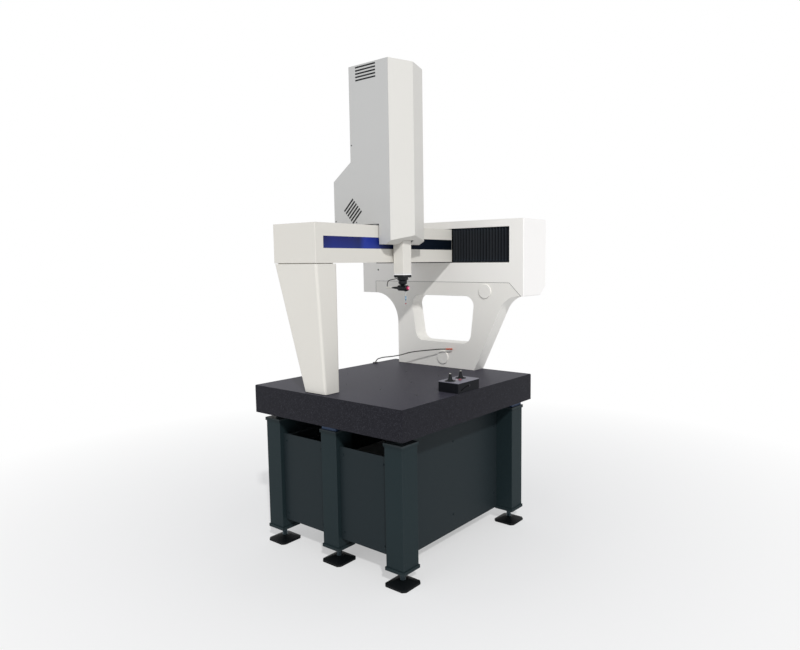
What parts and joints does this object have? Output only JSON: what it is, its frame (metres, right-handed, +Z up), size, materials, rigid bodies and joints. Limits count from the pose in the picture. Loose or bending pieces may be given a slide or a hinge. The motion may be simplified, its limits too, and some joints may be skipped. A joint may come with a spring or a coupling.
{
  "type": "coordinate measuring machine",
  "caption": "Bridge-type coordinate measuring machine: granite table on a stand, raised side guide, moving bridge and column, indexing touch probe and console.",
  "frame": {"origin": "centre of the overall bounding box, on the floor under the levelling feet", "axes": "+X along the bridge beam towards the raised side wall, +Y along the bridge travel away from the control console, +Z up"},
  "size_m": [1.223, 1.147, 2.341],
  "materials": {
    "granite": "lapped dark granite, satin",
    "insert_steel": "turned",
    "stand_paint": "dark grey-green powder coat",
    "panel_paint": "dark grey-green powder coat",
    "foot_iron": "black, with bare stud",
    "mount_rubber": "blue moulded",
    "zinc": "zinc plated",
    "case_paint": "light grey, satin",
    "filter_plastic": "moulded",
    "wall_white": "off-white, satin",
    "cap_white": "off-white, satin",
    "guide_alloy": "hard anodised",
    "house_white": "off-white powder coat on sheet",
    "fold_black": "coated pleated cloth",
    "beam_white": "off-white powder coat",
    "band_blue": "deep blue film",
    "pad_alloy": "machined",
    "motor_black": "black",
    "wheel_steel": "ground",
    "cover_white": "off-white powder coat on sheet",
    "quill_white": "hard coat, off-white",
    "plate_alloy": "machined",
    "head_black": "black anodised",
    "lens_pink": "translucent cap",
    "plug_pale": "moulded",
    "cable_black": "black jacket",
    "probe_grey": "satin",
    "stylus_grey": "ground",
    "ruby": "polished synthetic ruby",
    "console_dark": "textured",
    "console_light": "pale lavender-grey",
    "stick_black": "soft moulded",
    "gimbal_metal": "machined",
    "stop_red": "red",
    "arm_dark": "black coated tube",
    "tip_orange": "orange-red"
  },
  "bodies": {
    "base": {"granite_table": "granite", "threaded_inserts": "insert_steel", "stand_frame": "stand_paint", "levelling_feet": "foot_iron", "support_mounts": "mount_rubber", "stand_panels": "panel_paint", "panel_screws": "zinc", "controller_case": "case_paint", "air_filter_unit": "filter_plastic", "wall_cover_inner": "wall_white", "wall_cover_outer": "wall_white", "wall_caps": "cap_white", "guide_riser": "guide_alloy", "housing_cover": "house_white", "housing_ends": "house_white", "y_guide": "guide_alloy", "curtain_front": "fold_black", "curtain_rear": "fold_black", "console_case": "console_dark", "console_top": "console_light", "joystick_mounts": "console_dark", "sensor_arm": "arm_dark", "sensor_tip": "tip_orange"},
    "bridge": {"x_beam": "beam_white", "beam_band": "band_blue", "beam_end_cap": "beam_white", "bridge_leg": "beam_white", "bridge_air_pads": "pad_alloy", "y_carriage": "guide_alloy", "y_motor": "motor_black"},
    "y_wheel": {"y_drive_wheel": "wheel_steel"},
    "carriage": {"x_saddle": "guide_alloy", "x_air_pads": "pad_alloy", "column_motors": "motor_black", "z_guide": "guide_alloy", "z_bearings": "pad_alloy", "column_mast": "guide_alloy", "column_front_cover": "cover_white", "column_side_left": "cover_white", "column_side_right": "cover_white", "column_rear_cover": "cover_white", "cover_screws": "zinc"},
    "x_wheel": {"x_drive_wheel": "wheel_steel"},
    "z_wheel": {"z_drive_wheel": "wheel_steel"},
    "quill": {"quill": "quill_white", "quill_end_block": "plate_alloy", "probe_plate": "head_black"},
    "head": {"head_body": "head_black", "jumper_plugs": "plug_pale", "probe_jumper": "cable_black"},
    "head_tilt": {"head_drum": "head_black", "head_lens": "lens_pink", "probe_module": "probe_grey", "stylus": "stylus_grey", "stylus_ball": "ruby"},
    "joystick_left_gimbal": {"joystick_left_gimbal": "gimbal_metal"},
    "joystick_left": {"joystick_left": "stick_black"},
    "joystick_right_gimbal": {"joystick_right_gimbal": "gimbal_metal"},
    "joystick_right": {"joystick_right": "stick_black"},
    "stop_button": {"stop_button": "stop_red"}
  },
  "joints": [
    {"name": "bridge_slide", "type": "slide", "parent": "base", "child": "bridge", "axis": [0, 1, 0], "range_m": [-0.252, 0.248], "deforming": ["curtain_front", "curtain_rear"]},
    {"name": "y_wheel_spin", "type": "hinge", "parent": "bridge", "child": "y_wheel", "pos_m": [0.5606, 0.0295, 1.353], "axis": [0, 0, 1], "range_deg": [-730, 720]},
    {"name": "carriage_slide", "type": "slide", "parent": "bridge", "child": "carriage", "axis": [1, 0, 0], "range_m": [-0.217, 0.283]},
    {"name": "x_wheel_spin", "type": "hinge", "parent": "carriage", "child": "x_wheel", "pos_m": [-0.088, -0.0305, 1.6051], "axis": [0, 1, 0], "range_deg": [-420, 545]},
    {"name": "quill_slide", "type": "slide", "parent": "carriage", "child": "quill", "axis": [0, 0, 1], "range_m": [-0.385, 0.065]},
    {"name": "z_wheel_spin", "type": "hinge", "parent": "carriage", "child": "z_wheel", "pos_m": [-0.088, -0.1041, 1.8], "axis": [1, 0, 0], "range_deg": [-190, 1110]},
    {"name": "head_swivel", "type": "hinge", "parent": "quill", "child": "head", "pos_m": [-0.088, -0.1557, 1.3], "axis": [0, 0, 1], "range_deg": [-180, 180]},
    {"name": "head_tilt", "type": "hinge", "parent": "head", "child": "head_tilt", "pos_m": [-0.088, -0.1557, 1.27], "axis": [0, 1, 0], "range_deg": [0, 105]},
    {"name": "joystick_left_x", "type": "hinge", "parent": "base", "child": "joystick_left_gimbal", "pos_m": [-0.1595, -0.4995, 0.843], "axis": [1, 0, 0], "range_deg": [-18, 18], "stiffness_Nm_per_rad": 0.05},
    {"name": "joystick_left_y", "type": "hinge", "parent": "joystick_left_gimbal", "child": "joystick_left", "pos_m": [-0.1595, -0.4995, 0.843], "axis": [0, 1, 0], "range_deg": [-18, 18], "stiffness_Nm_per_rad": 0.05},
    {"name": "joystick_right_x", "type": "hinge", "parent": "base", "child": "joystick_right_gimbal", "pos_m": [-0.0705, -0.4945, 0.843], "axis": [1, 0, 0], "range_deg": [-18, 18], "stiffness_Nm_per_rad": 0.05},
    {"name": "joystick_right_y", "type": "hinge", "parent": "joystick_right_gimbal", "child": "joystick_right", "pos_m": [-0.0705, -0.4945, 0.843], "axis": [0, 1, 0], "range_deg": [-18, 18], "stiffness_Nm_per_rad": 0.05},
    {"name": "stop_press", "type": "slide", "parent": "base", "child": "stop_button", "axis": [0, 0, -1], "range_m": [0, 0.0015], "stiffness_N_per_m": 2000, "springref_m": -0.001}
  ],
  "couplings": [
    {"joint": "y_wheel_spin", "follows": "bridge_slide", "rad_per_m": 50},
    {"joint": "x_wheel_spin", "follows": "carriage_slide", "rad_per_m": 33.333},
    {"joint": "z_wheel_spin", "follows": "quill_slide", "rad_per_m": -50}
  ]
}
